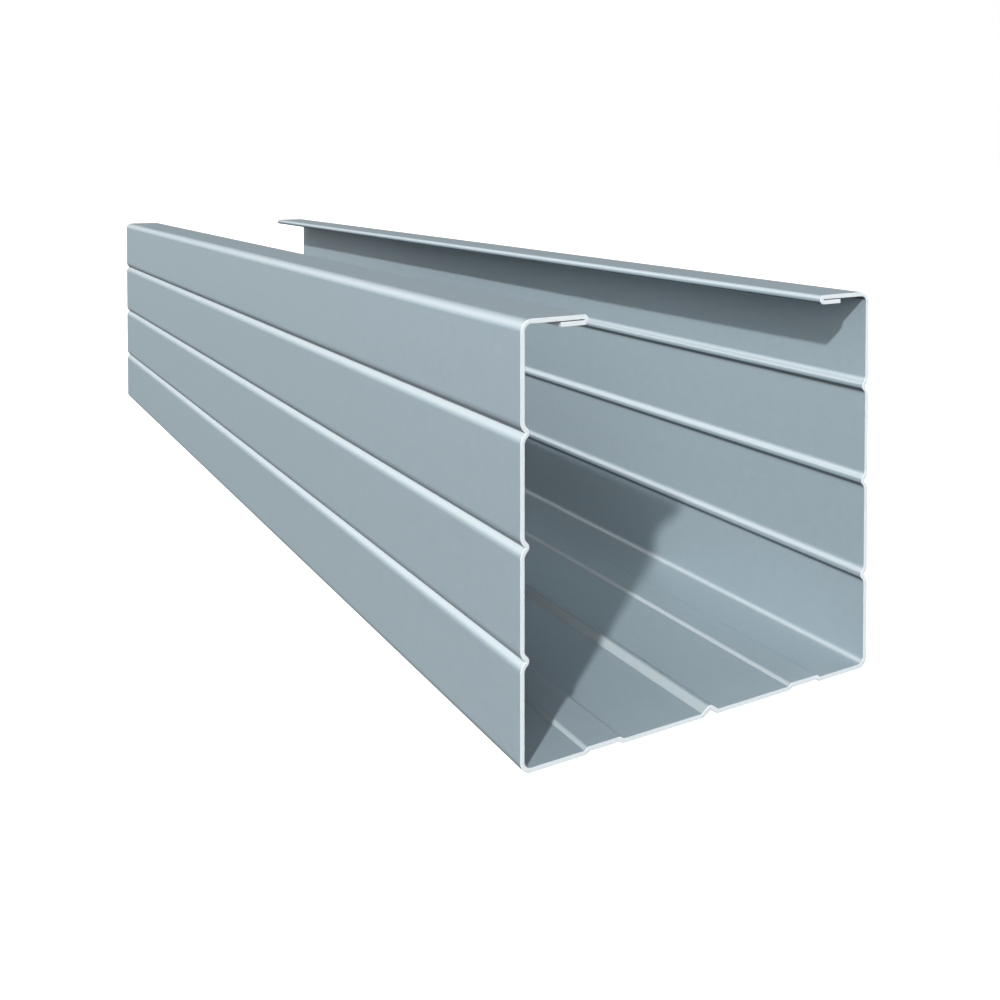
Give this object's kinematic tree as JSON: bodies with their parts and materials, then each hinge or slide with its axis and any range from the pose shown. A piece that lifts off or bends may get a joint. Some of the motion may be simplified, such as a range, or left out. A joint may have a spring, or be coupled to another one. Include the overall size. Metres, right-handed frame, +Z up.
{
  "type": "drywall metal stud",
  "caption": "Roll-formed C stud of thin galvanised sheet, with V-ribbed flanges, a beaded web and hemmed lips, cut square at both ends.",
  "frame": {"origin": "on the back of the web, in the middle of its width and of the stud's length", "axes": "+X across the section to the right flange, +Y along the stud, +Z up from the web to the open side"},
  "size_m": [0.0488, 0.204, 0.0458],
  "materials": {
    "galvanised": "hot-dip galvanised sheet, minimised spangle, satin"
  },
  "bodies": {
    "root": {"stud": "galvanised"}
  },
  "joints": []
}
